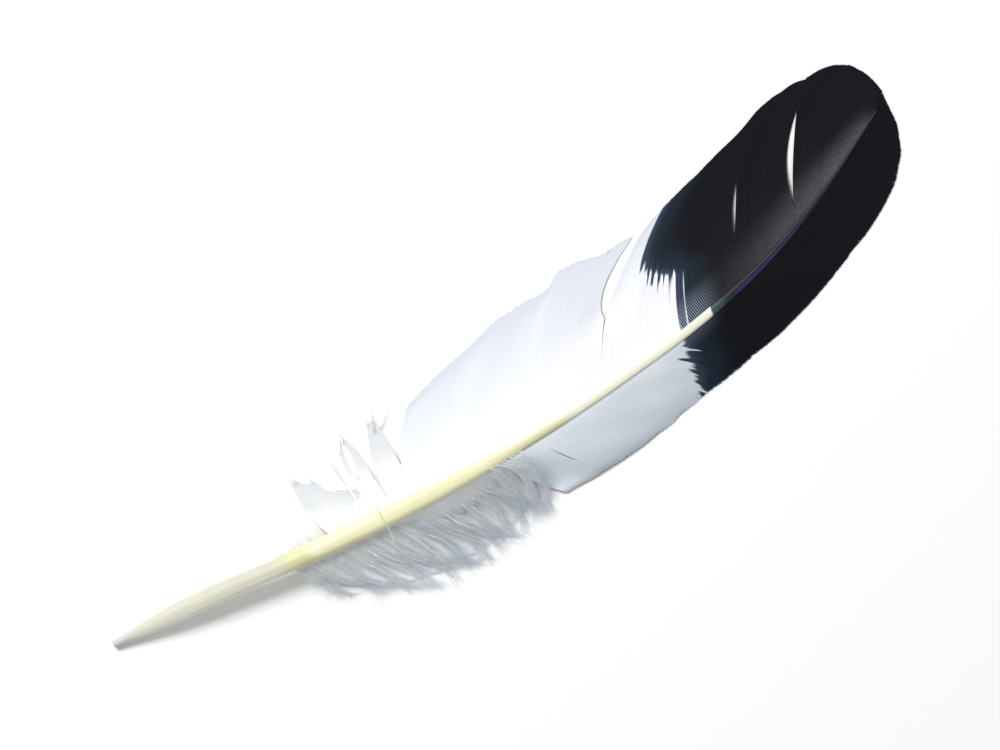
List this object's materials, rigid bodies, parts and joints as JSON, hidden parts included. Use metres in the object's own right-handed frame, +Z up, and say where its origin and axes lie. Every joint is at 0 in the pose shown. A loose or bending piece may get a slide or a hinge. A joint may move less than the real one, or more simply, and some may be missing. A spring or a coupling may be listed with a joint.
{
  "type": "bird feather",
  "caption": "White turkey feather with a dyed black tip: one bowed shaft with a broad and a narrow vane, basal tufts and down, lying flat.",
  "frame": {"origin": "middle of the feather's footprint, on the surface it lies on", "axes": "+X along the chord from the quill's cut end to the tip, +Y towards the broad vane, +Z up, towards the feather's upper side"},
  "size_m": [0.2794, 0.0622, 0.0118],
  "materials": {
    "quill": "smooth satin keratin, greyer and slightly see-through at the cut end, cream above, dyed black near the tip",
    "white_barbs": "soft matt white barbs, hooked together into a web",
    "dyed_barbs": "barbs dyed blue-black at the tip half, white below the dye line",
    "down": "loose fine white down"
  },
  "bodies": {
    "root": {"shaft": "quill", "broad_vane_lower": "white_barbs", "broad_vane_middle": "dyed_barbs", "broad_vane_tip": "dyed_barbs", "narrow_vane": "dyed_barbs", "basal_lobe": "white_barbs", "barb_tuft_1": "white_barbs", "barb_tuft_2": "white_barbs", "barb_tuft_3": "white_barbs", "down_narrow_side": "down", "down_broad_side": "down"}
  },
  "joints": []
}
